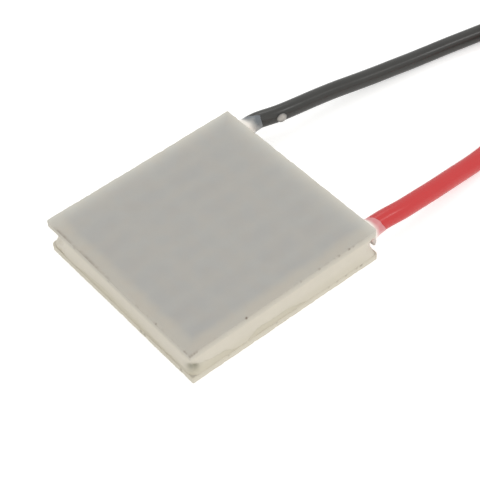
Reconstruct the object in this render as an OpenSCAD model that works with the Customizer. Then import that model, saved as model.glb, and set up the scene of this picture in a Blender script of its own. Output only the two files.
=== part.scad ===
// Thermoelectric cooling module: pellets of bismuth telluride joined in series by copper tabs
// between two alumina plates, closed round the edge by a silicone bead, with two insulated leads.
// Millimetres. +Z is up, from the cold plate to the hot plate, and the origin is the centre of
// the cold plate's outer face. The leads are soldered to the hot side and leave towards +X.

/* [Pellets] */
// Pellet places along each side of the square array, an even number
grid_cells = 8; // [4:2:12]
// Side length of a pellet's square section
pellet_side = 1.4; // [1:0.1:2]
// Gap between neighbouring pellets
pellet_gap = 1.0; // [0.7:0.1:1.6]
// Height of a pellet
pellet_h = 1.5; // [1:0.1:3]
// Thickness of the solder on each end of a pellet
solder_t = 0.05; // [0.03:0.01:0.1]

/* [Copper tabs] */
// Thickness of the copper tabs on both plates
tab_t = 0.3; // [0.2:0.05:0.5]
// How far a tab reaches past the pellet on every side
tab_overhang = 0.15; // [0.05:0.05:0.25]
// Radius of a tab's corners
tab_corner_r = 0.2; // [0.1:0.05:0.4]

/* [Ceramic plates] */
// Thickness of each alumina plate
plate_t = 0.65; // [0.5:0.05:1.2]
// Width of bare ceramic outside the outermost tabs
edge_margin = 0.75; // [0.6:0.05:1.5]
// Width of the bevel that the snapped edges leave on the plates' upright corners
plate_corner = 0.12; // [0.05:0.01:0.3]

/* [Silicone bead] */
// How far the bead's outer face stands back from the plates' edges
seal_recess = 0.15; // [0.05:0.05:0.25]
// Gap between the bead and the outermost tabs
seal_clearance = 0.05; // [0.02:0.01:0.1]
// Thickness of the bead across its rounded corners
seal_corner_wall = 0.25; // [0.15:0.05:0.3]

/* [Leads] */
// Outer diameter of the black lead's insulation
black_d = 1.6; // [1.3:0.05:2]
// Outer diameter of the red lead's insulation
red_d = 1.75; // [1.3:0.05:2]
// Diameter of the stranded conductor in each lead
conductor_d = 0.76; // [0.5:0.02:0.9]
// Thickness of the solder film between a conductor and its pad
film_t = 0.07; // [0.03:0.01:0.15]
// Length of conductor laid along its pad, measured in from the plate's edge
conductor_reach = 2.4; // [1.8:0.1:3]
// How far outside the plate's edge the insulation starts
strip_gap = 0.2; // [0.1:0.05:0.5]
// Wall of solder round a soldered conductor
joint_wall = 0.16; // [0.08:0.02:0.25]
// Length of the stripped and tinned tip at a lead's far end
tip_length = 7; // [4:0.5:10]

/* [Glue fillets] */
// Length of the glue fillet along each lead
fillet_length = 1.6; // [0.8:0.1:2]
// Wall of glue round the lead where the fillet meets the plate
fillet_wall = 0.45; // [0.2:0.05:0.5]
// Wall of glue at the fillet's thin end
fillet_lip = 0.08; // [0.05:0.01:0.15]

/* [Lead coil] */
// Thickness of the tie's band
tie_t = 0.3; // [0.2:0.05:0.6]
// Angle of the coil that the tie's band covers
tie_angle = 16; // [10:1:30]
// Side length of the tie's square head
tie_head = 2.8; // [2:0.1:3]
// How far the tie's head stands out
tie_head_h = 1.8; // [1:0.1:3]

/* [Hidden] */
$fn = 48;

pitch = pellet_side + pellet_gap;
tab_w = pellet_side + 2 * tab_overhang;
array_half = (grid_cells - 1) * pitch / 2 + tab_w / 2;
plate_half = array_half + edge_margin;
last = grid_cells - 1;

// Heights of the layers, from the cold plate's outer face up
cold_tab_z = plate_t;
cold_solder_z = cold_tab_z + tab_t;
pellet_z = cold_solder_z + solder_t;
hot_solder_z = pellet_z + pellet_h;
hot_tab_z = hot_solder_z + solder_t;
hot_plate_z = hot_tab_z + tab_t;
module_h = hot_plate_z + plate_t;

// The bead's ring, with corners rounded as far as its wall allows
seal_inner = array_half + seal_clearance;
seal_outer = plate_half - seal_recess;
diagonal = sqrt(2);
seal_corner_r = (diagonal * (seal_outer - seal_inner) - seal_corner_wall) / (diagonal - 1);

// Both conductors lie under their pads, in the two corner places without a pellet
lead_y = last * pitch / 2;
lead_z = hot_tab_z - film_t - conductor_d / 2;
lead_x = plate_half + strip_gap;

// Places along a row run back and forth: even rows from +X to -X, odd rows back again
function row_of(i) = floor(i / grid_cells);
function col_of(i) = let (k = i % grid_cells) row_of(i) % 2 == 0 ? k : last - k;
function place(i) = [lead_y - col_of(i) * pitch, lead_y - row_of(i) * pitch];
places = grid_cells * grid_cells;
last_place = places - 1;

// The coil: both leads in two layers of two turns, the red on the black, wound clockwise from
// outside in, with a little room left round them
coil_reach = 34;
coil_x = lead_x + coil_reach;
coil_y = -8.1;
turn_out_r = 10.4;
turn_in_r = 8.65;
slack = 0.05;
coil_low = tie_t;
coil_top = coil_low + black_d + red_d + 2 * slack;
coil_in_r = turn_in_r - red_d / 2 - slack;
coil_out_r = turn_out_r + red_d / 2 + slack;
black_layer_z = coil_low + slack + black_d / 2;
red_layer_z = coil_low + slack + black_d + red_d / 2;

// Points that the leads' centrelines follow from the module to the coil. X is measured from
// where the insulation starts, and the end points take their heights from what they meet.
black_route = [
    [0, lead_y, lead_z], [1.6, lead_y, lead_z], [3.2, 7.95, 2.1], [5.4, 7.55, 2], [7.6, 7.35, 1.8],
    [9.8, 7.1, 1.6], [12, 6.8, 1.35], [14.2, 6.45, 1.15], [16.4, 6.1, 1], [18.6, 5.75, 0.85],
    [20.8, 5.35, 0.8], [23, 4.9, 0.8], [25.2, 4.4, 0.8], [27.5, 3.9, 0.9],
    [29.8, 3.4, black_layer_z]
];
red_route = [
    [0, -lead_y, lead_z], [1.6, -lead_y, lead_z], [3.6, -8.55, 2.05], [5.6, -8.5, 1.85],
    [7.6, -8.4, 1.6], [9.6, -8.25, 1.35], [11.4, -8.1, 1.1], [13.2, -8, 0.95], [14.6, -7.95, 1],
    [16.2, -7.9, 1.3], [18.1, -7.6, 1.9], [20.2, -6.8, 2.5], [22.1, -5.35, red_layer_z]
];

// Inside the coil each lead bends towards the middle, sinks to the surface and ends in its tip:
// the angle round the coil where the bend starts, the bend's radius and how far it turns
black_end = [233.5, 5.2, 105];
red_end = [232.5, 4, 120];
end_run = 1.5;
tie_a = 322;

rows = [for (r = [1 : grid_cells]) r];

// Square plate with its upright corners bevelled
module plate_outline() {
    h = plate_half;
    c = plate_corner;
    polygon([
        [h - c, h], [c - h, h], [-h, h - c], [-h, c - h],
        [c - h, -h], [h - c, -h], [h, c - h], [h, h - c]
    ]);
}

module ceramic_plate(z) {
    color("whitesmoke") translate([0, 0, z]) linear_extrude(plate_t) plate_outline();
}

module hot_side_ceramic() {
    ceramic_plate(hot_plate_z);
}

module cold_side_ceramic() {
    ceramic_plate(0);
}

// Rectangle from a to b, grown by grow on every side, its corners rounded with radius r
module rounded_span(a, b, grow, r) {
    low = [min(a[0], b[0]) - grow, min(a[1], b[1]) - grow];
    size = [abs(a[0] - b[0]) + 2 * grow, abs(a[1] - b[1]) + 2 * grow];
    translate(low) {
        translate([r, 0]) square([size[0] - 2 * r, size[1]]);
        translate([0, r]) square([size[0], size[1] - 2 * r]);
        for (x = [r, size[0] - r], y = [r, size[1] - r]) translate([x, y]) circle(r);
    }
}

// Copper tab from place a to place b
module tab(a, b, z) {
    translate([0, 0, z]) linear_extrude(tab_t) rounded_span(a, b, tab_w / 2, tab_corner_r);
}

// Hot tabs join places 0-1, 2-3, 4-5 and so on; the first and the last carry a lead
module hot_tabs(row) {
    color("peru")
        for (k = [0 : grid_cells / 2 - 1]) {
            i = (row - 1) * grid_cells + 2 * k;
            if (i > 0 && i + 1 < last_place) tab(place(i), place(i + 1), hot_tab_z);
        }
}

module black_lead_pad() {
    color("peru") tab(place(0), place(1), hot_tab_z);
}

module red_lead_pad() {
    color("peru") tab(place(last_place - 1), place(last_place), hot_tab_z);
}

// Cold tabs join places 1-2, 3-4, 5-6 and so on; those between two rows are the turn tabs
module cold_tabs(row) {
    color("peru")
        for (k = [0 : grid_cells / 2 - 2]) {
            i = (row - 1) * grid_cells + 2 * k + 1;
            tab(place(i), place(i + 1), cold_tab_z);
        }
}

module cold_turn_tabs() {
    color("peru")
        for (r = [1 : grid_cells - 1]) {
            i = r * grid_cells - 1;
            tab(place(i), place(i + 1), cold_tab_z);
        }
}

// Square block of the pellets' section at place i
module block(i, z, h) {
    translate(concat(place(i) - [pellet_side, pellet_side] / 2, z)) cube([pellet_side, pellet_side, h]);
}

// Pellets of one kind in one row: p pellets are at the odd places, n pellets at the even ones
module pellets(row, kind) {
    for (k = [0 : last]) {
        i = (row - 1) * grid_cells + k;
        if (i % 2 == kind && i > 0 && i < last_place) block(i, pellet_z, pellet_h);
    }
}

module p_pellets(row) {
    color("slategray") pellets(row, 1);
}

module n_pellets(row) {
    color("darkslategray") pellets(row, 0);
}

module solder_layer(z) {
    color("silver") for (i = [1 : last_place - 1]) block(i, z, solder_t);
}

module hot_side_solder() {
    solder_layer(hot_solder_z);
}

module cold_side_solder() {
    solder_layer(cold_solder_z);
}

// Ring of silicone between the plates, with a hole for each conductor
module perimeter_sealant() {
    color("cornsilk")
        difference() {
            translate([0, 0, plate_t])
                linear_extrude(hot_plate_z - plate_t)
                    difference() {
                        rounded_span([0, 0], [0, 0], seal_outer, seal_corner_r);
                        square(2 * seal_inner, center = true);
                    }
            for (side = [1, -1]) conductor_rod(side, seal_inner - 1, seal_outer + 1);
        }
}

// Round rod along X at a lead's place, from x0 to x1
module lead_rod(side, x0, x1, d) {
    translate([x0, side * lead_y, lead_z]) rotate([0, 90, 0]) cylinder(h = x1 - x0, d = d);
}

module conductor_rod(side, x0, x1) {
    lead_rod(side, x0, x1, conductor_d);
}

module conductor(side) {
    color("silver") conductor_rod(side, plate_half - conductor_reach, lead_x);
}

module black_conductor() {
    conductor(1);
}

module red_conductor() {
    conductor(-1);
}

// Solder run round the conductor and up to its pad: a round-ended bar, flat against the pad
module solder_joint(side) {
    r = conductor_d / 2 + joint_wall;
    x0 = plate_half - conductor_reach + r;
    x1 = array_half - r;
    color("lightgray")
        difference() {
            intersection() {
                union() {
                    lead_rod(side, x0, x1, 2 * r);
                    for (x = [x0, x1]) translate([x, side * lead_y, lead_z]) sphere(r);
                }
                translate([x0 - 2 * r, side * lead_y - 2 * r, hot_tab_z - 3 * r])
                    cube([x1 - x0 + 4 * r, 4 * r, 3 * r]);
            }
            conductor_rod(side, x0 - 2 * r, x1 + 2 * r);
        }
}

module black_solder_joint() {
    solder_joint(1);
}

module red_solder_joint() {
    solder_joint(-1);
}

// Glue round a lead where it leaves: thick against the plates, thin and hollow-sided outwards,
// and pressed in between the plates up to the bead
module exit_fillet(side, lead_d) {
    lip = lead_d / 2 + fillet_lip;
    foot = lead_d / 2 + fillet_wall;
    bore = conductor_d / 2;
    steps = 6;
    flank = [for (k = [0 : steps])
        [lip + (foot - lip) * (1 - sin(90 * k / steps)), fillet_length * (1 - cos(90 * k / steps))]];
    sleeve = [[lead_d / 2, fillet_length], [lead_d / 2, strip_gap], [bore, strip_gap]];
    color("gainsboro") {
        translate([plate_half, side * lead_y, lead_z])
            rotate([0, 90, 0]) rotate_extrude() polygon(concat([[bore, 0]], flank, sleeve));
        difference() {
            intersection() {
                lead_rod(side, seal_outer, plate_half, 2 * foot);
                translate([seal_outer, side * lead_y - foot, plate_t])
                    cube([plate_half - seal_outer, 2 * foot, hot_plate_z - plate_t]);
            }
            conductor_rod(side, seal_inner, lead_x);
        }
    }
}

module black_exit_fillet() {
    exit_fillet(1, black_d);
}

module red_exit_fillet() {
    exit_fillet(-1, red_d);
}

// Where a lead that comes in straight from a route's last point touches the coil's outer turn
function from_coil(route) = let (p = route[len(route) - 1]) [p[0] + lead_x - coil_x, p[1] - coil_y];
function join_angle(route) = let (p = from_coil(route))
    atan2(p[1], p[0]) - acos(turn_out_r / norm(p));
function run_in(route) = sqrt(norm(from_coil(route)) ^ 2 - turn_out_r ^ 2);

// Tube along a route: one ring of points square to the route at each of its points. It starts
// along X and ends in line with the coil's tangent.
tube_sides = 8;

function unit(v) = v / norm(v);
function heading(p, i, last_way) = i == 0 ? [1, 0, 0]
    : i == len(p) - 1 ? last_way
    : unit(unit(p[i + 1] - p[i]) + unit(p[i] - p[i - 1]));
function ring(c, t, r) = let (s = unit(cross([0, 0, 1], t)), u = cross(t, s))
    [for (k = [0 : tube_sides - 1])
        let (a = (k + 0.5) * 360 / tube_sides) c + r * (cos(a) * s + sin(a) * u)];

module tube(route, d) {
    n = len(route);
    m = tube_sides;
    a = join_angle(route);
    way = [sin(a), -cos(a), 0];
    points = [for (i = [0 : n - 1]) each ring(route[i], heading(route, i, way), d / 2)];
    sides = [for (i = [0 : n - 2], k = [0 : m - 1]) let (j = (k + 1) % m)
        [i * m + k, (i + 1) * m + k, (i + 1) * m + j, i * m + j]];
    caps = [[for (k = [0 : m - 1]) k], [for (k = [m - 1 : -1 : 0]) (n - 1) * m + k]];
    translate([lead_x, 0, 0]) polyhedron(points, concat(sides, caps));
}

module black_lead() {
    color("dimgray") tube(black_route, black_d);
}

module red_lead() {
    color("firebrick") tube(red_route, red_d);
}

// Straight length of lead from a route's end to the coil's outer turn
module lead_in(route, z, d) {
    rotate([0, 0, join_angle(route)])
        translate([turn_out_r, 0, z]) rotate([-90, 0, 0]) cylinder(h = run_in(route), d = d);
}

// Frame of a lead's end inside the coil: the middle of its bend, in the slope that brings the
// tip down to the surface, or as far as the insulation lets it
module at_end(end, z, d) {
    bend_r = end[1];
    turn = end[2];
    way = bend_r * (1 - cos(turn));
    tip_slope = asin((z - conductor_d / 2) / (way + (end_run + tip_length) * sin(turn)));
    lead_slope = asin((z - d / 2) / (way + end_run * sin(turn)));
    slope = min(tip_slope, lead_slope);
    translate([coil_x, coil_y, z])
        rotate([0, 0, end[0]])
            translate([turn_in_r, 0, 0])
                rotate([0, -slope, 0])
                    translate([-bend_r, 0, 0]) rotate([0, 0, -turn]) children();
}

// The insulated part of a lead's end: a bend and a short straight run
module lead_end(end, z, d) {
    at_end(end, z, d) {
        rotate_extrude(angle = end[2]) translate([end[1], 0]) circle(d = d);
        translate([end[1], 0, 0]) rotate([90, 0, 0]) cylinder(h = end_run, d = d);
    }
}

module lead_tip(end, z, d) {
    color("silver")
        at_end(end, z, d)
            translate([end[1], -end_run, 0]) rotate([90, 0, 0]) cylinder(h = tip_length, d = conductor_d);
}

module black_lead_tip() {
    lead_tip(black_end, black_layer_z, black_d);
}

module red_lead_tip() {
    lead_tip(red_end, red_layer_z, red_d);
}

// Section of the coil's bundle, grown by grow on every side
module bundle(grow) {
    rounded_span([coil_in_r, coil_low], [coil_out_r, coil_top], grow, grow + black_d / 4);
}

module lead_coil() {
    color("dimgray") {
        translate([coil_x, coil_y, 0]) {
            rotate_extrude() bundle(0);
            lead_in(black_route, black_layer_z, black_d);
            lead_in(red_route, red_layer_z, red_d);
        }
        lead_end(black_end, black_layer_z, black_d);
        lead_end(red_end, red_layer_z, red_d);
    }
}

// Cable tie: a band drawn round the bundle and a head on its outer side
module coil_tie() {
    middle = (coil_low + coil_top) / 2;
    color("ivory")
        translate([coil_x, coil_y, 0])
            rotate([0, 0, tie_a]) {
                rotate([0, 0, -tie_angle / 2])
                    rotate_extrude(angle = tie_angle)
                        difference() {
                            bundle(tie_t);
                            bundle(0);
                        }
                translate([coil_out_r + tie_t / 2, 0, middle])
                    rotate([0, 90, 0])
                        linear_extrude(tie_head_h)
                            rounded_span([0, 0], [0, 0], tie_head / 2, tie_head / 8);
            }
}

hot_side_ceramic();
cold_side_ceramic();
perimeter_sealant();
for (r = rows) p_pellets(r);
for (r = rows) n_pellets(r);
for (r = rows) hot_tabs(r);
for (r = rows) cold_tabs(r);
cold_turn_tabs();
hot_side_solder();
cold_side_solder();
black_lead_pad();
red_lead_pad();
black_solder_joint();
red_solder_joint();
black_conductor();
red_conductor();
black_exit_fillet();
red_exit_fillet();
black_lead();
red_lead();
lead_coil();
coil_tie();
black_lead_tip();
red_lead_tip();
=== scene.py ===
"""Dresses a thermoelectric cooling module: snapped ceramic plates, silicone bead, glue, leads."""

import math

import bmesh
import bpy
import numpy as np
from bpy.props import FloatProperty, FloatVectorProperty, IntProperty, PointerProperty, StringProperty
from mathutils import Matrix, Vector


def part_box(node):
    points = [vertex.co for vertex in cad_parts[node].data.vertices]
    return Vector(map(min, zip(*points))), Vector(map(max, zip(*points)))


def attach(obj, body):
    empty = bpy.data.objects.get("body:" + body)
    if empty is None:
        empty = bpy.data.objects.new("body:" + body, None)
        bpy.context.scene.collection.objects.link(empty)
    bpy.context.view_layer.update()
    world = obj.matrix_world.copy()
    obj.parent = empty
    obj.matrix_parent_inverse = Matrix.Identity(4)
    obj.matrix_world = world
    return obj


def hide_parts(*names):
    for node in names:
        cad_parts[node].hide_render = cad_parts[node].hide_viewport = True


bl_info = {
    "name": "Thermoelectric cooling module",
    "version": (1, 0, 0),
    "blender": (4, 5, 0),
    "location": "View3D > Sidebar > Cooling module",
    "description": "Ceramic plates, silicone bead, glue fillets, leads and stage",
    "category": "Add Mesh",
}

MM = 0.001
BODY = "root"

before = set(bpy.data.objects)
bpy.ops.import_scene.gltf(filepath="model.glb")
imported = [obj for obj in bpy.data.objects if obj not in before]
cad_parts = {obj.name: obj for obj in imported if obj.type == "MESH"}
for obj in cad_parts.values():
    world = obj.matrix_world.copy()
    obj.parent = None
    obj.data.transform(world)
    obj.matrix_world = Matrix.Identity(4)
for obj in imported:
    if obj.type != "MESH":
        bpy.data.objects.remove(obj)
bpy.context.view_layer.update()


def node_box(node):
    """Lowest and highest corner of a node in millimetres."""
    low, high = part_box(node)
    return np.array(low) / MM, np.array(high) / MM


COLD_LOW, COLD_HIGH = node_box("cold_side_ceramic")
HOT_LOW, HOT_HIGH = node_box("hot_side_ceramic")
BEAD_LOW, BEAD_HIGH = node_box("perimeter_sealant")
PLATE_HALF = HOT_HIGH[0]
BEAD_HALF = BEAD_HIGH[0]
TAB_HALF = node_box("cold_turn_tabs")[1][0]
PAD_LOW, PAD_HIGH = node_box("black_lead_pad")
CONDUCTOR_LOW, CONDUCTOR_HIGH = node_box("black_conductor")
EXIT_X = CONDUCTOR_HIGH[0]
LEAD_Y = (CONDUCTOR_LOW[1] + CONDUCTOR_HIGH[1]) / 2
LEAD_Z = (CONDUCTOR_LOW[2] + CONDUCTOR_HIGH[2]) / 2
CONDUCTOR_D = CONDUCTOR_HIGH[2] - CONDUCTOR_LOW[2]
PAD_PITCH = PAD_HIGH[0] - PAD_LOW[0] - (PAD_HIGH[1] - PAD_LOW[1])


# Sizes and colours that a user may change


class PlateSettings(bpy.types.PropertyGroup):
    """Alumina plates."""

    around: IntProperty(name="Points around", description="Points round a plate's edge", default=1280, min=80)
    arris: FloatProperty(
        name="Arris", description="Bevel left on the edges", default=0.03 * MM, min=0.0, subtype="DISTANCE"
    )
    waviness: FloatProperty(
        name="Waviness",
        description="How far a snapped edge wanders",
        default=0.035 * MM,
        min=0.0,
        subtype="DISTANCE",
    )
    chips: IntProperty(name="Small chips", description="Small chips along each arris", default=46, min=0)
    body_colour: StringProperty(name="Ceramic", description="Fired alumina, sRGB hex", default="ACAAA4")
    bar_colour: StringProperty(
        name="Bars", description="Ceramic over a copper tab, sRGB hex", default="A9A7A2"
    )
    rim_colour: StringProperty(
        name="Rim", description="Ceramic with no copper behind, sRGB hex", default="B7B2A7"
    )
    # Painted light: the rim on +X and +Y is painted this colour, as if lit through from behind
    backlit_rim_colour: StringProperty(
        name="Bright rim", description="Rim lit from behind, sRGB hex", default="D0CDC2"
    )
    grime_colour: StringProperty(
        name="Grime", description="Dirt caught in the chips, sRGB hex", default="685748"
    )


class BeadSettings(bpy.types.PropertyGroup):
    """Silicone bead between the plates."""

    around: IntProperty(name="Points around", description="Points round the bead", default=1280, min=80)
    wander: FloatProperty(
        name="Wander",
        description="How far the bead's face wanders",
        default=0.025 * MM,
        min=0.0,
        subtype="DISTANCE",
    )
    hollow: FloatProperty(
        name="Hollow",
        description="How far the bead falls back below its lower edge",
        default=0.05 * MM,
        min=0.0,
        subtype="DISTANCE",
    )
    colour: StringProperty(name="Silicone", description="Cured silicone, sRGB hex", default="D6CFC0")
    # The bead is painted this darker colour below its wavy lower edge and towards its foot
    shade: StringProperty(
        name="Thin silicone", description="Silicone in the hollows, sRGB hex", default="CCC5B2"
    )
    # Painted shade: the colour of the painted shadow in the bead's corner pocket and of the painted dark line
    # under its lower edge
    dirt_and_shade: StringProperty(
        name="Dirt", description="Dirt in the pocket and under the edge, sRGB hex", default="7C7B69"
    )


class LeadSettings(bpy.types.PropertyGroup):
    """Insulated leads."""

    black_d: FloatProperty(
        name="Black diameter", description="Over the insulation", default=1.6 * MM, min=MM, subtype="DISTANCE"
    )
    red_d: FloatProperty(
        name="Red diameter", description="Over the insulation", default=1.75 * MM, min=MM, subtype="DISTANCE"
    )
    length: FloatProperty(
        name="Length",
        description="Length of the insulation",
        default=143.0 * MM,
        min=100.0 * MM,
        subtype="DISTANCE",
    )
    sides: IntProperty(name="Sides", description="Points round a lead", default=28, min=12)
    step: FloatProperty(
        name="Step", description="Distance between rings", default=0.35 * MM, min=0.1 * MM, subtype="DISTANCE"
    )
    black_colour: StringProperty(name="Black PVC", description="Black insulation, sRGB hex", default="343432")
    red_colour: StringProperty(name="Red PVC", description="Red insulation, sRGB hex", default="CB3A3B")
    tin_colour: StringProperty(name="Tinned copper", description="Bare tips, sRGB hex", default="C9C6BF")


class GlueSettings(bpy.types.PropertyGroup):
    """Clear glue where the leads come out."""

    lip: FloatProperty(
        name="Lip",
        description="Glue left at the fillet's thin end",
        default=0.025 * MM,
        min=0.0,
        subtype="DISTANCE",
    )
    colour: StringProperty(name="Glue", description="Clear silicone glue, sRGB hex", default="F1ECE3")


class StageSettings(bpy.types.PropertyGroup):
    """Camera, lamps and floor."""

    azimuth: FloatProperty(
        name="Azimuth", description="0 looks along +Y", default=math.radians(-35.158), subtype="ANGLE"
    )
    elevation: FloatProperty(
        name="Elevation", description="Above the horizon", default=math.radians(47.372), subtype="ANGLE"
    )
    roll: FloatProperty(
        name="Roll", description="Turn of the picture", default=math.radians(-5.509), subtype="ANGLE"
    )
    distance: FloatProperty(
        name="Distance", description="Camera to target", default=138.97 * MM, subtype="DISTANCE"
    )
    focal: FloatProperty(name="Focal length", description="Of the lens", default=122.32, unit="CAMERA")
    target: FloatVectorProperty(
        name="Target",
        description="Middle of the view",
        default=(1.877 * MM, -1.519 * MM, 1.5 * MM),
        subtype="TRANSLATION",
    )
    ambient: FloatProperty(name="Ambient", description="Strength of the room's light", default=0.715)
    floor_colour: StringProperty(name="Floor", description="Pale floor, sRGB hex", default="F4F4F2")


# Mesh helpers


def linear(hex_colour):
    """sRGB hex to linear RGBA: c/12.92 below 0.04045, else ((c + 0.055) / 1.055) to the power 2.4."""
    c = np.array([int(hex_colour[i : i + 2], 16) / 255 for i in (0, 2, 4)])
    low, high = c / 12.92, ((c + 0.055) / 1.055) ** 2.4
    return (*np.where(c <= 0.04045, low, high), 1.0)


def unit(v):
    """Vectors divided by their length."""
    return v / np.linalg.norm(v, axis=-1, keepdims=True)


def smoothstep(low, high, x):
    """0 below low, 1 above high, and 3t^2 - 2t^3 between them."""
    t = np.clip((x - low) / (high - low), 0, 1)
    return t * t * (3 - 2 * t)


def ripple(x, period, seed, octaves=4):
    """Smooth noise along x in -1..1: sines of falling size whose phases come from the seed."""
    rng = np.random.default_rng(seed)
    k = np.arange(1, octaves + 1)
    phase = rng.uniform(0, 2 * math.pi, octaves)
    drift = rng.uniform(0.75, 1.3, octaves)
    waves = np.sin(2 * math.pi * np.multiply.outer(x, k**1.6 * drift) / period + phase) / k
    return waves.sum(-1) / (1 / k).sum() * 1.4


def loft(name, rings, start=None, end=None, loop=False, attributes=None, uv=None):
    """Skins rings of points, each closed on itself, with a pole or a loop back at the ends.

    rings is rows by points by 3, in millimetres. Each quad joins point i and i + 1 of a row to
    those of the next row, and a pole joins the whole first or last row to one point. The faces
    are turned over if the closed volume comes out negative.
    """
    rows, count = rings.shape[:2]
    points = rings.reshape(-1, 3)
    i = np.arange(count)
    j = (i + 1) % count
    row = np.arange(rows if loop else rows - 1)[:, None]
    low, high = row * count, (row + 1) % rows * count
    quads = np.stack([low + i, low + j, high + j, high + i], -1).reshape(-1, 4)
    fans = []
    if start is not None:
        fans.append(np.stack([np.full(count, len(points)), j, i], -1))
        points = np.vstack([points, start])
    if end is not None:
        last = (rows - 1) * count
        fans.append(np.stack([np.full(count, len(points)), last + i, last + j], -1))
        points = np.vstack([points, end])
    fans = np.vstack(fans) if fans else np.zeros((0, 3), int)
    a, b, c, d = (points[quads[:, k]] for k in range(4))
    volume = (a * np.cross(b, c)).sum() + (a * np.cross(c, d)).sum()
    if len(fans):
        a, b, c = (points[fans[:, k]] for k in range(3))
        volume += (a * np.cross(b, c)).sum()
    if volume < 0:
        quads, fans = quads[:, ::-1], fans[:, ::-1]
    mesh = bpy.data.meshes.new(name)
    mesh.from_pydata((points * MM).tolist(), [], quads.tolist() + fans.tolist())
    mesh.polygons.foreach_set("use_smooth", np.ones(len(mesh.polygons), bool))
    for key, values in (attributes or {}).items():
        flat = np.zeros(len(points), np.float32)
        flat[: values.size] = values.ravel()
        mesh.attributes.new(key, "FLOAT", "POINT").data.foreach_set("value", flat)
    if uv is not None:
        flat = np.zeros((len(points), 2), np.float32)
        flat[: rows * count] = uv.reshape(-1, 2)
        corner = np.zeros(len(mesh.loops), np.int32)
        mesh.loops.foreach_get("vertex_index", corner)
        mesh.uv_layers.new(name="UVMap").data.foreach_set("uv", flat[corner].ravel())
    mesh.update()
    piece = bpy.data.objects.new(name, mesh)
    bpy.context.scene.collection.objects.link(piece)
    return piece


def join(name, pieces):
    """One piece out of several, which are removed."""
    whole = bmesh.new()
    for piece in pieces:
        whole.from_mesh(piece.data)
        bpy.data.objects.remove(piece)
    mesh = bpy.data.meshes.new(name)
    whole.to_mesh(mesh)
    whole.free()
    piece = bpy.data.objects.new(name, mesh)
    bpy.context.scene.collection.objects.link(piece)
    return piece


def finish_piece(piece, material, slot, *nodes):
    """Gives a piece its material and its body, and hides the nodes that it stands for; slot is not used."""
    piece.data.materials.append(material)
    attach(piece, BODY)
    if nodes:
        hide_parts(*nodes)


def rounded_square(angle, half, corner):
    """Distance from the middle to a square with round corners, in each direction.

    On the straight sides it is half over the larger of |cos| and |sin|. Where that point would
    lie past the corner's start it is the far root of the corner circle's equation.
    """
    c, s = np.abs(np.cos(angle)), np.abs(np.sin(angle))
    k = half - corner
    side = half / np.maximum(c, s)
    root = np.sqrt(np.maximum((k * (c + s)) ** 2 - 2 * k * k + corner * corner, 0))
    return np.where(side * np.minimum(c, s) > k, k * (c + s) + root, side)


def rounded_rectangle(half, corner, steps):
    """Points round a rectangle, with an arc of steps points at each corner, and their normals."""
    angle = (np.linspace(0, 1, steps) + np.arange(4)[:, None]) * math.pi / 2
    normal = np.stack([np.cos(angle), np.sin(angle)], -1)
    middle = (np.array(half) - corner) * np.array([(1, 1), (-1, 1), (-1, -1), (1, -1)])
    return (middle[:, None] + corner * normal).reshape(-1, 2), normal.reshape(-1, 2)


def square_angles(count):
    """Directions of points that are evenly spaced round a square."""
    t = np.arange(count) / count * 4
    side, along = np.floor(t), (t % 1) * 2 - 1
    return np.arctan2(along, 1) + side * math.pi / 2


def polar(radius, angle, z):
    """Points at a radius and an angle, at height z."""
    return np.stack([radius * np.cos(angle), radius * np.sin(angle), z + 0 * radius], -1)


def near(points, spots):
    """Largest hump of the spots at each point: depth times 1 - (distance / reach)^2.

    spots are rows of x, y, reach and depth.
    """
    spots = np.asarray(spots, float).reshape(-1, 4)
    away = np.hypot(points[..., 0, None] - spots[:, 0], points[..., 1, None] - spots[:, 1])
    humps = spots[:, 3] * np.maximum(1 - (away / spots[:, 2]) ** 2, 0)
    return humps.max(-1) if len(spots) else 0 * points[..., 0]


def random_chips(count, half, seed):
    """Small chips anywhere along the edge of a square, as rows of x, y, reach and depth."""
    rng = np.random.default_rng(seed)
    angle = square_angles(4096)[rng.integers(0, 4096, count)]
    radius = rounded_square(angle, half, 0)
    reach = rng.uniform(0.08, 0.3, count)
    depth = reach * rng.uniform(0.15, 0.45, count)
    return np.stack([radius * np.cos(angle), radius * np.sin(angle), reach, depth], -1)


# Material helpers

# The kinds of node that the materials use most
MATH, MIX, NOISE, MAP = "ShaderNodeMath", "ShaderNodeMix", "ShaderNodeTexNoise", "ShaderNodeMapRange"


def add(tree, kind, sockets=None, **settings):
    """Adds a node, sets its properties, and fills or links its inputs.

    A value that is a socket is linked, and one that is a node is linked by its first output.
    """
    node = tree.nodes.new(kind)
    for key, value in settings.items():
        setattr(node, key, value)
    for key, value in (sockets or {}).items():
        source = value.outputs[0] if isinstance(value, bpy.types.Node) else value
        if isinstance(source, bpy.types.NodeSocket):
            tree.links.new(source, node.inputs[key])
        else:
            node.inputs[key].default_value = source
    return node


def start_material(name, **principled):
    """New material with a Principled surface, whose plain values are set on its own sockets."""
    material = bpy.data.materials.new(name)
    material.use_nodes = True
    tree = material.node_tree
    shader = tree.nodes["Principled BSDF"]
    for key, value in principled.items():
        shader.inputs[key.replace("_", " ")].default_value = value
    return material, tree, shader


def directly_seen(tree):
    """1 for what the camera sees straight, through glass or in a mirror, and 0 for other light."""
    rays = add(tree, "ShaderNodeLightPath").outputs
    seen = rays["Is Camera Ray"]
    for ray in ("Is Transmission Ray", "Is Glossy Ray"):
        seen = add(tree, MATH, {0: seen, 1: rays[ray]}, operation="MAXIMUM")
    return seen


# Materials

# Noises are given as the size of their features in mm, their detail and their roughness

# Half of a tab's length and width as its bar shows, and how far the bar fades inwards and outwards
BAR_HALF = (2.05, 0.85)
BAR_FADE = (0.8, 0.5)
# How far the dull rim reaches in from the outermost tabs and out over them
RIM_IN, RIM_OUT = 1.0, 0.2
# The bright rim, painted light shining through from behind, starts this far inside the edge and falls to 1/e
# over this length
BRIGHT_START, BRIGHT_FALL = 0.05, 0.72


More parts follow.
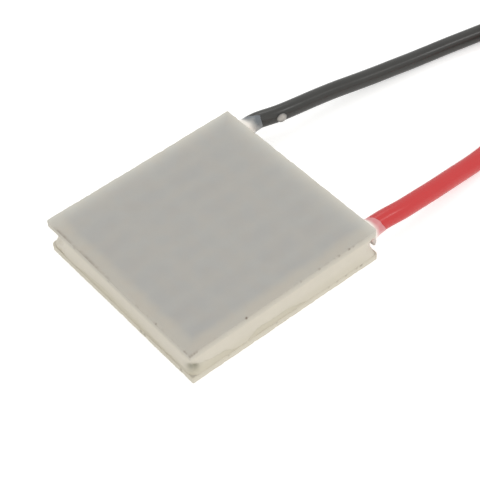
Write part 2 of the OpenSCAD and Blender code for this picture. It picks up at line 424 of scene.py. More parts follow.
def fired_alumina(name, look, shift, edge_top, lit_edge_foot):
    """Alumina substrate, 96 %, as fired: matt, finely grained and a little translucent.

    The copper behind it shows through as faint darker bars, and the bare rim is lighter. On +X and +Y
    the rim is painted lighter still, as painted light shining through from behind. The snapped edge is
    painted paler towards its foot, as painted light.
    """
    material, tree, shader = start_material(name, Roughness=0.62, IOR=1.76, Specular_IOR_Level=0.3)
    coords = add(tree, "ShaderNodeTexCoord").outputs["Object"]
    noises = ((3.0, 3, 0.5), (5.0, 2, 0.5), (1.8, 2, 0.5), (1.1, 4, 0.6), (0.12, 2, 0.5))
    slow, uneven, patchy, blotchy, grain = (
        add(tree, NOISE, {"Vector": coords, "Scale": 1 / (size * MM), "Detail": detail, "Roughness": rough})
        for size, detail, rough in noises
    )
    parts = add(tree, "ShaderNodeSeparateXYZ", {0: coords}).outputs
    x, y = (add(tree, MATH, {0: parts[k], 1: 1 / MM}, operation="MULTIPLY") for k in (0, 1))
    # The distance from the nearest tab's middle says where a bar is, along and across the rows
    bars = []
    along, across = (x, 2 * PAD_PITCH, BAR_HALF[0], shift), (y, PAD_PITCH, BAR_HALF[1], 0.0)
    for axis, pitch, half, start in (along, across):
        turn = add(tree, MATH, {0: axis, 1: 1 / pitch, 2: start}, operation="MULTIPLY_ADD")
        turn = add(tree, MATH, {0: turn}, operation="FRACT")
        away = add(tree, MATH, {0: turn, 1: 0.5}, operation="SUBTRACT")
        away = add(tree, MATH, {0: away}, operation="ABSOLUTE")
        away = add(tree, MATH, {0: away, 1: pitch}, operation="MULTIPLY")
        ends = {"Value": away, "From Min": half + BAR_FADE[1], "From Max": half - BAR_FADE[0]}
        bars.append(add(tree, MAP, ends, interpolation_type="SMOOTHSTEP"))
    # The dull rim is on -X and -Y, the bright one on +X and +Y, and both wander; the bright one is painted
    # light shining through from behind
    wander = add(tree, MATH, {0: slow, 1: 0.8, 2: -0.4}, operation="MULTIPLY_ADD")
    sides = [add(tree, MATH, {0: axis, 1: -1.0}, operation="MULTIPLY") for axis in (x, y)]
    dull = add(tree, MATH, {0: sides[0], 1: sides[1]}, operation="MAXIMUM")
    dull = add(tree, MATH, {0: dull, 1: wander}, operation="ADD")
    ends = {"Value": dull, "From Min": TAB_HALF - RIM_IN, "From Max": TAB_HALF + RIM_OUT}
    rim = add(tree, MAP, ends, interpolation_type="SMOOTHSTEP")
    lit = add(tree, MATH, {0: x, 1: y}, operation="MAXIMUM")
    lit = add(tree, MATH, {0: wander, 1: 0.4, 2: lit}, operation="MULTIPLY_ADD")
    lit = add(tree, MATH, {0: lit, 1: PLATE_HALF - BRIGHT_START}, operation="SUBTRACT")
    lit = add(tree, MATH, {0: lit, 1: 1 / BRIGHT_FALL}, operation="MULTIPLY")
    lit = add(tree, MATH, {0: lit, 1: 0.0}, operation="MINIMUM")
    bright = add(tree, MATH, {0: lit}, operation="EXPONENT")
    bare = add(tree, MATH, {0: rim, 1: bright}, operation="MAXIMUM")
    inside = add(tree, MATH, {0: 1.0, 1: bare}, operation="SUBTRACT")
    share = add(tree, MATH, {0: uneven, 1: 2.0, 2: -0.2}, operation="MULTIPLY_ADD")
    bar = bars[0]
    for factor in (bars[1], inside, share):
        bar = add(tree, MATH, {0: bar, 1: factor}, operation="MULTIPLY")
    # Patches a millimetre or two across, a little warmer or cooler than the rest
    ends = {"Value": patchy, "From Min": 0.38, "From Max": 0.62}
    patch = add(tree, MAP, ends, interpolation_type="SMOOTHSTEP")
    tints = {0: patch, 6: (1.0, 0.988, 0.978, 1), 7: (0.985, 0.992, 1.0, 1)}
    tint = add(tree, MIX, tints, data_type="RGBA").outputs[2]
    # The foot attribute goes from 0 on the face to 1 on the edge, and on to 2 at the edge's foot; along it
    # the edge is painted paler downwards, as painted light
    foot, grime_and_shade = (
        add(tree, "ShaderNodeAttribute", attribute_name=key).outputs["Fac"] for key in ("foot", "grime_and_shade")
    )
    depth = add(tree, MATH, {0: foot, 1: 1.0}, operation="SUBTRACT", use_clamp=True)
    edge = add(tree, MIX, {0: depth, 6: linear(edge_top), 7: linear(lit_edge_foot)}, data_type="RGBA").outputs[2]
    on_edge = add(tree, MATH, {0: foot, 1: 1.0}, operation="MINIMUM")
    blotch = add(tree, MATH, {0: blotchy, 1: 0.07, 2: 0.965}, operation="MULTIPLY_ADD")
    colour = linear(look.body_colour)
    for amount, over, blend in (
        (bar, linear(look.bar_colour), "MIX"),
        (rim, linear(look.rim_colour), "MIX"),
        (bright, linear(look.backlit_rim_colour), "MIX"),
        (1.0, tint, "MULTIPLY"),
        (on_edge, edge, "MIX"),
        (1.0, blotch, "MULTIPLY"),
        (grime_and_shade, linear(look.grime_colour), "MIX"),
    ):
        ends = {0: amount, 6: colour, 7: over}
        colour = add(tree, MIX, ends, data_type="RGBA", blend_type=blend).outputs[2]
    tree.links.new(colour, shader.inputs["Base Color"])
    # The fired grain is a few hundredths of a millimetre across, drawn at 0.12 mm to show
    bump = add(tree, "ShaderNodeBump", {"Height": grain, "Distance": 0.012 * MM, "Strength": 0.5})
    tree.links.new(bump.outputs[0], shader.inputs["Normal"])
    return material


def cured_silicone(look):
    """One part silicone, wiped into the gap and cured: soft and waxy, and darker below its lower edge and
    towards its foot. Its dark colour is painted shade: a painted shadow in the corner pocket and a painted
    dark line in the crevice under its lower edge.
    """
    material, tree, shader = start_material("silicone_cured", Roughness=0.42, IOR=1.41)
    coords = add(tree, "ShaderNodeTexCoord").outputs["Object"]
    blotchy, skin = (
        add(tree, NOISE, {"Vector": coords, "Scale": 1 / (size * MM), "Detail": 3.0}) for size in (1.2, 0.5)
    )
    thin, grime_and_shade = (
        add(tree, "ShaderNodeAttribute", attribute_name=key).outputs["Fac"] for key in ("thin", "grime_and_shade")
    )
    blotch = add(tree, MATH, {0: blotchy, 1: 0.08, 2: 0.96}, operation="MULTIPLY_ADD")
    colour = linear(look.colour)
    for amount, over, blend in (
        (thin, linear(look.shade), "MIX"),
        (1.0, blotch, "MULTIPLY"),
        # Painted shade, in the pocket and in the crevice under the lower edge
        (grime_and_shade, linear(look.dirt_and_shade), "MIX"),
    ):
        ends = {0: amount, 6: colour, 7: over}
        colour = add(tree, MIX, ends, data_type="RGBA", blend_type=blend).outputs[2]
    tree.links.new(colour, shader.inputs["Base Color"])
    bump = add(tree, "ShaderNodeBump", {"Height": skin, "Distance": 0.05 * MM, "Strength": 0.5})
    tree.links.new(bump.outputs[0], shader.inputs["Normal"])
    return material


def clear_glue(name, look, behind):
    """Clear silicone glue, dabbed on and cured: milky where thick, wet and glossy.

    Where it is thin, it takes on the colour of the lead behind it.
    """
    material, tree, shader = start_material(name, Roughness=0.25, IOR=1.41, Emission_Strength=0.12)
    coords = add(tree, "ShaderNodeTexCoord").outputs["Object"]
    cloudy, dents = (
        add(tree, NOISE, {"Vector": coords, "Scale": 1 / (size * MM), "Detail": detail})
        for size, detail in ((0.5, 3.0), (0.35, 2.0))
    )
    thin = add(tree, "ShaderNodeAttribute", attribute_name="thin").outputs["Fac"]
    cloud = add(tree, MATH, {0: cloudy, 1: 0.5, 2: -0.25}, operation="MULTIPLY_ADD")
    amount = add(tree, MATH, {0: thin, 1: cloud}, operation="ADD", use_clamp=True)
    ends = {0: amount, 6: linear(look.colour), 7: linear(behind)}
    colour = add(tree, MIX, ends, data_type="RGBA").outputs[2]
    tree.links.new(colour, shader.inputs["Base Color"])
    # The light that soaks through it from behind is drawn as a faint glow of its own colour
    tree.links.new(colour, shader.inputs["Emission Color"])
    bump = add(tree, "ShaderNodeBump", {"Height": dents, "Distance": 0.03 * MM, "Strength": 0.5})
    tree.links.new(bump.outputs[0], shader.inputs["Normal"])
    return material


def extruded_pvc(name, colour, grey, gloss):
    """Soft PVC insulation, extruded: satin, with faint die lines along the lead and dust on it."""
    material, tree, shader = start_material(name, Roughness=gloss, IOR=1.53, Specular_IOR_Level=0.32)
    coords = add(tree, "ShaderNodeTexCoord").outputs["Object"]
    uv = add(tree, "ShaderNodeUVMap", uv_map="UVMap")
    # The die lines are a noise that is drawn out 25 times along the lead
    stretch = add(tree, "ShaderNodeMapping", {"Vector": uv, "Scale": (0.04, 1.0, 1.0)})
    lines = add(tree, NOISE, {"Vector": stretch, "Scale": 9.0, "Detail": 2.0})
    dust = add(tree, NOISE, {"Vector": coords, "Scale": 1 / (2.5 * MM), "Detail": 4.0, "Roughness": 0.6})
    amount = add(tree, MATH, {0: dust, 1: 0.35}, operation="MULTIPLY")
    ends = {0: amount, 6: linear(colour), 7: linear(grey)}
    base = add(tree, MIX, ends, data_type="RGBA").outputs[2]
    tree.links.new(base, shader.inputs["Base Color"])
    height = add(tree, MATH, {0: dust, 1: 0.5, 2: lines}, operation="MULTIPLY_ADD")
    bump = add(tree, "ShaderNodeBump", {"Height": height, "Distance": 0.012 * MM, "Strength": 0.6})
    tree.links.new(bump.outputs[0], shader.inputs["Normal"])
    return material


def metal(name, colour, other, roughness, grain_mm, depth_mm, metallic=1.0):
    """Bare metal with grains of two tones and a fine rough surface."""
    material, tree, shader = start_material(name, Metallic=metallic)
    coords = add(tree, "ShaderNodeTexCoord").outputs["Object"]
    cells = {"Vector": coords, "Scale": 1 / (grain_mm * MM)}
    grains = add(tree, "ShaderNodeTexVoronoi", cells, feature="F1").outputs["Color"]
    tone = add(tree, "ShaderNodeSeparateColor", {0: grains})
    ends = {0: tone, 6: linear(colour), 7: linear(other)}
    base = add(tree, MIX, ends, data_type="RGBA").outputs[2]
    tree.links.new(base, shader.inputs["Base Color"])
    coarse, fine = (
        add(tree, NOISE, {"Vector": coords, "Scale": 1 / (size * MM), "Detail": 3.0})
        for size in (grain_mm * 2, grain_mm / 2)
    )
    rough = add(tree, MATH, {0: coarse, 1: 0.25, 2: roughness - 0.12}, operation="MULTIPLY_ADD")
    tree.links.new(rough.outputs[0], shader.inputs["Roughness"])
    bump = add(tree, "ShaderNodeBump", {"Height": fine, "Distance": depth_mm * MM, "Strength": 0.6})
    tree.links.new(bump.outputs[0], shader.inputs["Normal"])
    return material


def moulded_nylon():
    """Natural nylon, moulded: off white, waxy, with a fine mould texture."""
    material, tree, shader = start_material(
        "nylon_natural", Roughness=0.45, IOR=1.53, Subsurface_Weight=0.1, Subsurface_Scale=0.4 * MM
    )
    coords = add(tree, "ShaderNodeTexCoord").outputs["Object"]
    cloudy, texture = (
        add(tree, NOISE, {"Vector": coords, "Scale": 1 / (size * MM), "Detail": detail})
        for size, detail in ((1.5, 3.0), (0.15, 2.0))
    )
    ends = {0: cloudy, 6: linear("E4E1D6"), 7: linear("D9D5C8")}
    base = add(tree, MIX, ends, data_type="RGBA").outputs[2]
    tree.links.new(base, shader.inputs["Base Color"])
    bump = add(tree, "ShaderNodeBump", {"Height": texture, "Distance": 0.01 * MM, "Strength": 0.5})
    tree.links.new(bump.outputs[0], shader.inputs["Normal"])
    return material


# Ceramic plates


def plate(name, low, high, look, corners, chips, specks, line, foot, seed):
    """Plate with snapped edges, as rings from the middle of its underside to that of its top.

    Round the edge, the distance from the middle is that of a square with round corners, less a
    slow wander. The arris is a bevel as wide as the deepest chip there, hollow in the middle as
    a chip in ceramic is. Each speck of grime fades with the distance from its place, and line
    gives the strength of the dirt along the top arris.
    """
    arris, waviness = look.arris / MM, look.waviness / MM
    angle = square_angles(look.around)
    x_side, y_side = np.sign(np.cos(angle)), np.sign(np.sin(angle))
    corner = np.select([(x_side == sx) & (y_side == sy) for sx, sy in corners], list(corners.values()), 0.1)
    outline = rounded_square(angle, high[0], corner)
    flat = polar(outline, angle, 0)[:, :2]
    run = np.arange(look.around) / look.around * 8 * high[0]
    outline = outline - waviness * np.maximum(0.5 + 0.5 * ripple(run, 8 * high[0] / 7, seed, 6), 0)
    thick = high[2] - low[2]
    every = [arris * np.maximum(1.2 + ripple(run, 2.0, seed + k, 5), 0.2) for k in (1, 2)]
    small = [near(flat, random_chips(look.chips, high[0], seed + k)) for k in (3, 4)]
    lower = np.minimum(every[0] + small[0], 0.45 * thick)
    upper = np.minimum(every[1] + np.maximum(small[1], near(flat, chips)), 0.45 * thick)
    rows = [outline * q for q in (0.12, 0.3, 0.5, 0.7, 0.85, 0.93, 0.97)]
    heights = [low[2] + 0 * outline] * len(rows)
    bevel = ((1.0, 0.0), (0.45, 0.3), (0.15, 0.65), (0.0, 1.0))
    rows += [outline - lower * f for f, g in bevel]
    heights += [low[2] + 0.8 * lower * g for f, g in bevel]
    for k, q in enumerate((0.3, 0.5, 0.7)):
        rough = 0.35 * waviness * ripple(run, 0.9, seed + 5 + k, 5)
        rows.append(outline - np.abs(rough))
        heights.append(low[2] + thick * q + 0 * outline)
    rows += [outline - upper * f for f, g in bevel[::-1]]
    heights += [high[2] - 0.8 * upper * g for f, g in bevel[::-1]]
    inward = (0.99, 0.98, 0.97, 0.95, 0.93, 0.89, 0.85, 0.78, 0.7, 0.6, 0.5, 0.4, 0.3, 0.2, 0.12)
    rows += [np.minimum(outline * q, outline - 1.05 * upper) for q in inward]
    heights += [high[2] + 0 * outline] * len(inward)
    rows, heights = np.array(rows), np.array(heights)
    rings = polar(rows, angle, 0)
    rings[..., 2] = heights
    grime_and_shade = np.zeros(rows.shape)
    for x, y, z, reach, dark in specks:
        away = np.linalg.norm(rings - (x, y, z), axis=-1)
        grime_and_shade = np.maximum(grime_and_shade, dark * np.clip(1.4 - away / reach, 0, 1))
    top = len(inward)
    worn = 0.12 * (np.maximum(small[1], near(flat, chips)) > 0.045)
    dirt_and_shade = line(flat) * (0.55 + 0.45 * ripple(run, 3.1, seed + 9, 6)).clip(0)
    for back, share in ((top + 3, 0.3), (top + 2, 1.0), (top + 1, 1.0), (top, 0.7), (top - 1, 0.35)):
        grime_and_shade[-back] = np.maximum(grime_and_shade[-back], np.maximum(dirt_and_shade, worn) * share)
    # The edge is painted paler towards its foot, as painted light
    pale = np.zeros(rows.shape)
    pale[:-top] = foot[0] + (foot[1] - foot[0]) * np.clip((high[2] - heights[:-top]) / thick, 0, 1)
    pale[-top:-top + 2] = 0.3 * foot[0]
    middle = [0, 0, low[2]], [0, 0, high[2]]
    return loft(name, rings, *middle, attributes={"grime_and_shade": grime_and_shade.clip(0, 1), "foot": pale})


class COOLER_OT_plates(bpy.types.Operator):
    """Make the two alumina plates with their snapped edges."""

    bl_idname = "cooler.plates"
    bl_label = "Ceramic plates"

    def execute(self, context):
        look = context.scene.cooler_plates
        h = PLATE_HALF
        # Chips along the top arris, by the side they are on: x, y, reach and depth
        chips = [
            (-9.9, -h, 0.5, 0.14), (-9.3, -h, 0.3, 0.09), (-h, -9.6, 0.25, 0.08), (-4.2, -h, 0.1, 0.05),
            (1.6, -h, 0.2, 0.06), (3.6, -h, 0.22, 0.08), (5.75, -h, 0.2, 0.09), (6.85, -h, 0.16, 0.08),
            (7.3, -h, 0.14, 0.06), (-h, 5.6, 0.25, 0.06), (-h, 3.1, 0.3, 0.06), (-h, -4.4, 0.12, 0.05),
            (h, 3.2, 0.3, 0.08), (h, -2.7, 0.25, 0.08), (2.5, h, 0.3, 0.06), (-6.1, h, 0.3, 0.06),
        ]
        # Specks of dirt: x, y, z, reach and darkness
        top = HOT_HIGH[2]
        specks = [
            (-9.95, -10, top - 0.06, 0.17, 0.45), (-9.75, -10, top - 0.04, 0.15, 0.5),
            (-9.5, -10, top - 0.02, 0.14, 0.5), (-9.25, -10, top, 0.12, 0.5),
            (-10, -9.3, top - 0.02, 0.12, 0.5), (-10, -9.5, top - 0.05, 0.11, 0.4),
            (-4.16, -9.93, top, 0.11, 0.95), (-9.93, -5.5, top, 0.1, 0.6),
            (1.6, -9.97, top, 0.11, 0.3), (3.6, -9.95, top, 0.13, 0.35), (5.75, -9.97, top, 0.12, 0.45),
            (6.85, -9.97, top, 0.12, 0.6), (7.3, -9.97, top, 0.1, 0.35), (-10, 1.0, top - 0.3, 0.12, 0.4),
            (-10, 5.9, top - 0.2, 0.14, 0.4),
        ]
        hot = plate(
            "hot_plate", HOT_LOW, HOT_HIGH, look, {(-1, 1): 0.2, (1, -1): 0.35}, chips, specks,
            lambda p: np.where(
                p[:, 0] < -9.9,
                0.5 * smoothstep(0.4, 1.5, p[:, 1]) * smoothstep(9.3, 8.3, p[:, 1]) + 0.06,
                0.07 * (p[:, 1] < -9.9),
            ),
            (0.25, 1.0), seed=11,
        )
        # The hot plate's edge is painted from a quarter of its edge colour at the top arris to all of it at
        # the foot, as painted light
        material = fired_alumina("alumina_hot_side", look, 0.0, "D2CCBE", "D2CCBE")
        finish_piece(hot, material, "alumina", "hot_side_ceramic")
        base = COLD_HIGH[2]
        specks = [
            (x, -10, base - 0.1, reach, dark)
            for x, reach, dark in (
                (8.1, 0.16, 0.45), (7.6, 0.13, 0.35), (6.4, 0.14, 0.3), (5.4, 0.12, 0.3),
                (4.5, 0.13, 0.3), (9.8, 0.13, 0.4), (-1.2, 0.15, 0.2), (-6.3, 0.12, 0.25),
            )
        ]
        specks += [(-10, y, base - 0.3, 0.15, 0.6) for y in (-3.0, -3.5, -8.4)]
        chips = [
            (8.1, -h, 0.35, 0.12), (7.4, -h, 0.2, 0.1), (6.3, -h, 0.3, 0.08), (-h, -3.5, 0.3, 0.1),
            (-h, -8.6, 0.25, 0.08), (-h, 6.8, 0.3, 0.1), (0.8, -h, 0.3, 0.08), (h, 5.0, 0.3, 0.1),
        ]
        cold = plate(
            "cold_plate", COLD_LOW, COLD_HIGH, look, {(-1, 1): 0.4, (1, -1): 0.25}, chips, specks,
            lambda p: 0 * p[:, 0], (1.0, 2.0), seed=29,
        )
        # The cold plate's edge is painted paler from D0C9B7 at its top to E0DACB at its foot, as painted
        # light from below
        material = fired_alumina("alumina_cold_side", look, 0.5, "D0C9B7", "E0DACB")
        finish_piece(cold, material, "alumina", "cold_side_ceramic")
        return {"FINISHED"}


# Silicone bead

# How far the bead reaches into the arrises above and below it, and how far it stays in from them
BEAD_OVERLAP = 0.05
BEAD_SET_BACK = 0.03
# Place of both near corners along X and Y, where one has a pocket and the other a notch
CORNER = 9.8
# The pocket: its reach round the corner, its height, its reach in height and its depth
POCKET = (0.55, 1.6, 0.5, 0.3)
# The notch: its reach round the corner and its depth
NOTCH = (0.75, 0.5)
# Rows of points up the bead's face
BEAD_ROWS = 27


def bead_height(flat):
    """Height of the bead's lower edge above the cold plate, from a few levels along each side.

    Between two levels it follows a straight line, and ripples are added to it.
    """
    x, y = flat[:, 0], flat[:, 1]
    front = np.interp(x, (-10, -9.2, -7.7, -6.6, -5.6, -4.3, -3.2, 0.1, 1.0, 2.2, 3, 10),
                      (1.3, 1.3, 0.95, 0.8, 0.15, 0.15, 0.8, 0.7, 0.4, 0.12, 0.05, 0.02))
    left = np.interp(y, (-10, -7, -3, 0, 2.5, 4.5, 6, 10), (0.5, 0.3, 0.55, 0.75, 0.8, 0.5, 0.15, 0.1))
    back = 0.35 + 0.25 * ripple(x, 9.0, 71)
    right = 0.3 + 0.25 * ripple(y, 8.0, 73)
    side = [np.abs(x) <= np.abs(y), np.abs(x) > np.abs(y)]
    return np.where(side[0], np.where(y < 0, front, back), np.where(x < 0, left, right))


class COOLER_OT_bead(bpy.types.Operator):
    """Make the silicone bead between the plates."""

    bl_idname = "cooler.bead"
    bl_label = "Silicone bead"

    def execute(self, context):
        look = context.scene.cooler_bead
        count = look.around
        angle = square_angles(count)
        x_side, y_side = np.sign(np.cos(angle)), np.sign(np.sin(angle))
        far_left, near_right = (x_side < 0) & (y_side > 0), (x_side > 0) & (y_side < 0)
        flat = polar(rounded_square(angle, PLATE_HALF, 0), angle, 0)[:, :2]
        run = np.arange(count) / count * 8 * PLATE_HALF
        # The silicone also fills the arrises of the plates above and below it
        low, high = BEAD_LOW[2] - BEAD_OVERLAP, BEAD_HIGH[2] + BEAD_OVERLAP
        edge = low + np.maximum(bead_height(flat) + 0.05 * ripple(run, 3.0, 5, 5), 0)
        z = np.linspace(low, high, BEAD_ROWS)[:, None]
        # At one corner the bead slopes out from its top to its foot
        sloped = 2.7 - 1.9 * smoothstep(2.3, 0.8, z)
        corner = np.select([far_left, near_right, (x_side < 0) & (y_side < 0)], [sloped, 0.5, 0.8], 0.6)
        outer = rounded_square(angle, PLATE_HALF - BEAD_SET_BACK, corner)
        height = (z - low) / (high - low)
        below = smoothstep(0.07, -0.07, z - edge) * smoothstep(0.03, 0.2, edge - low)
        below = below * smoothstep(0.0, 0.12, z - low)
        wander = look.wander / MM * (0.5 + 0.5 * ripple(run, 11.0, 9, 5)) * np.sin(math.pi * height)
        away = [np.hypot(flat[:, 0] - sx * CORNER, flat[:, 1] + CORNER) for sx in (-1, 1)]
        pocket = np.exp(-((away[0] / POCKET[0]) ** 2) - ((z - POCKET[1]) / POCKET[2]) ** 2)
        notch = np.exp(-((away[1] / NOTCH[0]) ** 2)) * np.sin(math.pi * height)
        back = 0.12 * smoothstep(7.5, 9.0, flat[:, 1]) * smoothstep(0, -6, flat[:, 0])
        inset = wander + look.hollow / MM * below + POCKET[3] * pocket + NOTCH[1] * notch + back
        lip = 0.05 * np.exp(-(((z - high + 0.2) / 0.1) ** 2)) * smoothstep(-2.5, -5, flat[:, 1])
        face = outer - np.maximum(inset - lip * (flat[:, 0] < -9.5), 0.0)
        inner = rounded_square(angle, TAB_HALF + 0.03, 0.25)
        face = np.maximum(face, inner + 0.04)
        rings = np.concatenate([polar(face, angle, 0), np.stack([polar(inner, angle, 0)] * 2)])
        rows = len(z)
        rings[:rows, :, 2] = z
        rings[rows, :, 2] = high
        rings[rows + 1, :, 2] = low
        # Here the thin attribute only marks where the bead is painted its darker colour: below its wavy lower
        # edge, towards its foot except near the +X side, and low on the middle of the -X side
        thin = np.zeros(rings.shape[:2])
        sunk = 0.5 * smoothstep(1.9, 0.9, z) * smoothstep(9.6, 7.5, flat[:, 0])
        middle = smoothstep(4.5, 1.0, flat[:, 1]) * smoothstep(-5.5, -2.5, flat[:, 1])
        left = 0.35 * (flat[:, 0] < -9.5) * middle
        thin[:rows] = np.clip(0.55 * below + sunk + left * smoothstep(2.6, 1.4, z), 0, 1)
        # Painted shade: a painted dark line in the crevice just under the bead's lower edge, and a painted
        # shadow in the recessed pocket at the near corner
        grime_and_shade = np.zeros(rings.shape[:2])
        line = np.exp(-(((z - edge + 0.05) / 0.1) ** 2)) * smoothstep(0.05, 0.3, edge - low)
        grime_and_shade[:rows] = 0.16 * line * (0.6 + 0.4 * ripple(run, 2.2, 15, 4)) + 0.8 * pocket
        bead = loft("silicone_bead", rings, loop=True, attributes={"thin": thin, "grime_and_shade": grime_and_shade.clip(0, 1)})
        finish_piece(bead, cured_silicone(look), "silicone", "perimeter_sealant")
        return {"FINISHED"}


# Leads

# Points that the leads follow from the module to the coil, in metres
BLACK_ROUTE = [
    (EXIT_X * MM, LEAD_Y * MM, LEAD_Z * MM), (0.0118, LEAD_Y * MM, LEAD_Z * MM),
    (0.0134, 0.00795, 0.0021), (0.0156, 0.00755, 0.002), (0.0178, 0.00735, 0.0018),
    (0.02, 0.0071, 0.0016), (0.0222, 0.0068, 0.00135), (0.0244, 0.00645, 0.00115),
    (0.0266, 0.0061, 0.001), (0.0288, 0.00575, 0.00085), (0.031, 0.00535, 0.0008),
    (0.0332, 0.0049, 0.0008), (0.0354, 0.0044, 0.0008), (0.0377, 0.0039, 0.0008),
    (0.04, 0.0034, 0.0008),
]
RED_ROUTE = [
    (EXIT_X * MM, -LEAD_Y * MM, LEAD_Z * MM), (0.0118, -LEAD_Y * MM, LEAD_Z * MM),
    (0.0138, -0.00855, 0.00205), (0.0158, -0.0085, 0.00185), (0.0178, -0.0084, 0.0016),
    (0.0198, -0.00825, 0.00135), (0.0216, -0.0081, 0.0011), (0.0234, -0.008, 0.00095),
    (0.0248, -0.00795, 0.001), (0.0264, -0.0079, 0.0013), (0.0283, -0.0076, 0.0019),
    (0.0304, -0.0068, 0.0023), (0.0323, -0.00535, 0.002475),
]
COIL = (44.2, -8.1)
TURN_OUT, TURN_IN = 10.4, 8.65
TIE_ANGLE = 322
TIE_LIFT = 0.35
# Cable tie: the band's thickness and width, and the head's side and height
TIE_T, TIE_WIDTH = 0.3, 2.4
TIE_HEAD, TIE_HEAD_H = 2.8, 1.8
# Room between the band and the leads, and how far the tail lies outside the band
TIE_GAP, TAIL_OUT = 0.01, 0.6
# Corner radii of the band's loop, of its section, of the head and of the slot
BAND_BEND, BAND_CORNER, HEAD_CORNER, SLOT_CORNER = 0.95, 0.06, 0.3, 0.1
# Bevel of the head's rims and of its slot's mouths
HEAD_BEVEL, SLOT_BEVEL = 0.12, 0.08
# Angle round the coil where a lead's bend towards the middle starts, the bend's radius and turn
BLACK_END = (233.5, 5.2, 105)
RED_END = (232.5, 4.0, 120)
END_RUN = 1.5
TIP_LENGTH = 7.0
# Rings along a tip and points round it, its strands, and the length of one whole twist of theirs
TIP_ROWS, TIP_SIDES = 60, 42
STRANDS, STRAND_LAY = 7, 9
# Place of the glue drop along X, its angle round the black lead from +Y and its sizes
DROP_X, DROP_ANGLE = 13.8, math.radians(172)
DROP_SIZE = (0.5, 0.45, 0.1)


def coiled_path(route, end, layer, lead_r):
    """Points of a whole lead, and the two ends of its tip, in millimetres.

    After the route come two turns of a circle whose radius steps smoothly from the outer turn's
    to the inner one's between 280 and 360 degrees past the tangent point, lifted a little where
    the tie passes under. Then a circular bend in a plane that slopes down, as far as the tip
    and the insulation let it, and a short run.
    """
    start = np.array(route) / MM
    last = start[-1, :2] - COIL
    join = math.atan2(last[1], last[0]) - math.acos(TURN_OUT / np.linalg.norm(last))
    angle, bend, turn = math.radians(end[0]), end[1], math.radians(end[2])
    sweep = join - angle + 4 * math.pi
    sweep = sweep - 2 * math.pi * (sweep > math.radians(680))
    past = np.linspace(0, sweep, 48)
    radius = TURN_OUT - (TURN_OUT - TURN_IN) * smoothstep(280, 360, np.degrees(past))
    at = join - past
    from_tie = (np.degrees(at) - TIE_ANGLE + 180) % 360 - 180
    height = layer + TIE_LIFT * np.exp(-((from_tie / 28) ** 2))
    turns = np.stack([COIL[0] + radius * np.cos(at), COIL[1] + radius * np.sin(at), height], -1)
    ahead = np.array([math.sin(angle), -math.cos(angle), 0])
    inside = bend * (1 - math.cos(turn))
    tip_slope = (layer - CONDUCTOR_D / 2) / (inside + (END_RUN + TIP_LENGTH) * math.sin(turn))
    lead_slope = (layer - lead_r) / (inside + END_RUN * math.sin(turn))
    slope = math.asin(min(tip_slope, lead_slope))
    level = -math.cos(slope)
    inward = np.array([level * math.cos(angle), level * math.sin(angle), -math.sin(slope)])
    theta = np.linspace(0, turn, 9)[1:, None]
    curve = turns[-1] + bend * np.sin(theta) * ahead + bend * (1 - np.cos(theta)) * inward
    way = math.cos(turn) * ahead + math.sin(turn) * inward
    done = curve[-1] + END_RUN * way
    points = np.vstack([start, turns, curve, curve[-1] + 0.5 * END_RUN * way, done])
    return points, (done, done + TIP_LENGTH * way)


def spline(points, step):
    """Natural cubic spline through points, by chord length, sampled about every step.

    The second derivatives solve the usual tridiagonal equations with zeros at both ends.
    """
    chord = np.linalg.norm(np.diff(points, axis=0), axis=1)
    t = np.concatenate([[0], np.cumsum(chord)])
    n = len(points)
    system = np.eye(n)
    inner = np.arange(1, n - 1)
    system[inner, inner - 1] = chord[:-1]
    system[inner, inner] = 2 * (chord[:-1] + chord[1:])
    system[inner, inner + 1] = chord[1:]
    slope = np.diff(points, axis=0) / chord[:, None]
    right = np.zeros_like(points)
    right[1:-1] = 6 * (slope[1:] - slope[:-1])
    second = np.linalg.solve(system, right)
    at = np.linspace(0, t[-1], max(int(t[-1] / step), 2))
    k = np.clip(np.searchsorted(t, at, "right") - 1, 0, n - 2)
    h = chord[k][:, None]
    a, b = (t[k + 1] - at)[:, None] / h, (at - t[k])[:, None] / h
    bend = (a**3 - a) * second[k] + (b**3 - b) * second[k + 1]
    return a * points[k] + b * points[k + 1] + bend * h * h / 6


def sweep(name, path, radius, sides, shape=None, round_end=0.0):
    """Tube round a path: each ring stands square to the path, its sideways axis kept level.

    shape is the ring's radius as a factor, of rows by sides. The ends close in two small rings
    and a pole. The UV map holds the length along the path, and the turn round it from 0 to 1.
    """
    way = unit(np.gradient(path, axis=0))
    side = unit(np.cross([0.0, 0.0, 1.0], way))
    up = np.cross(way, side)
    spin = np.arange(sides) / sides * 2 * math.pi
    ring = side[:, None] * np.cos(spin)[:, None] + up[:, None] * np.sin(spin)[:, None]
    size = radius * (np.ones((len(path), sides)) if shape is None else shape)
    rows = path[:, None] + ring * size[..., None]
    close = []
    for k, sign in ((0, -1), (-1, 1)):
        for f, g in ((0.94, 0.05), (0.6, 0.055)):
            ahead = sign * (g + round_end * (1 - f)) * radius * way[k]
            close.append(path[k] + ring[k] * size[k][:, None] * f + ahead)
    rows = np.concatenate([[close[1], close[0]], rows, [close[2], close[3]]])
    length = np.concatenate([[0], np.cumsum(np.linalg.norm(np.diff(path, axis=0), axis=1))])
    length = np.concatenate([[0, 0], length, [length[-1]] * 2])
    uv = np.stack(np.broadcast_arrays(length[:, None], spin / (2 * math.pi)), -1)
    ends = path[0] - way[0] * radius * 0.055, path[-1] + way[-1] * radius * (0.055 + round_end)
    return loft(name, rows, *ends, uv=uv)


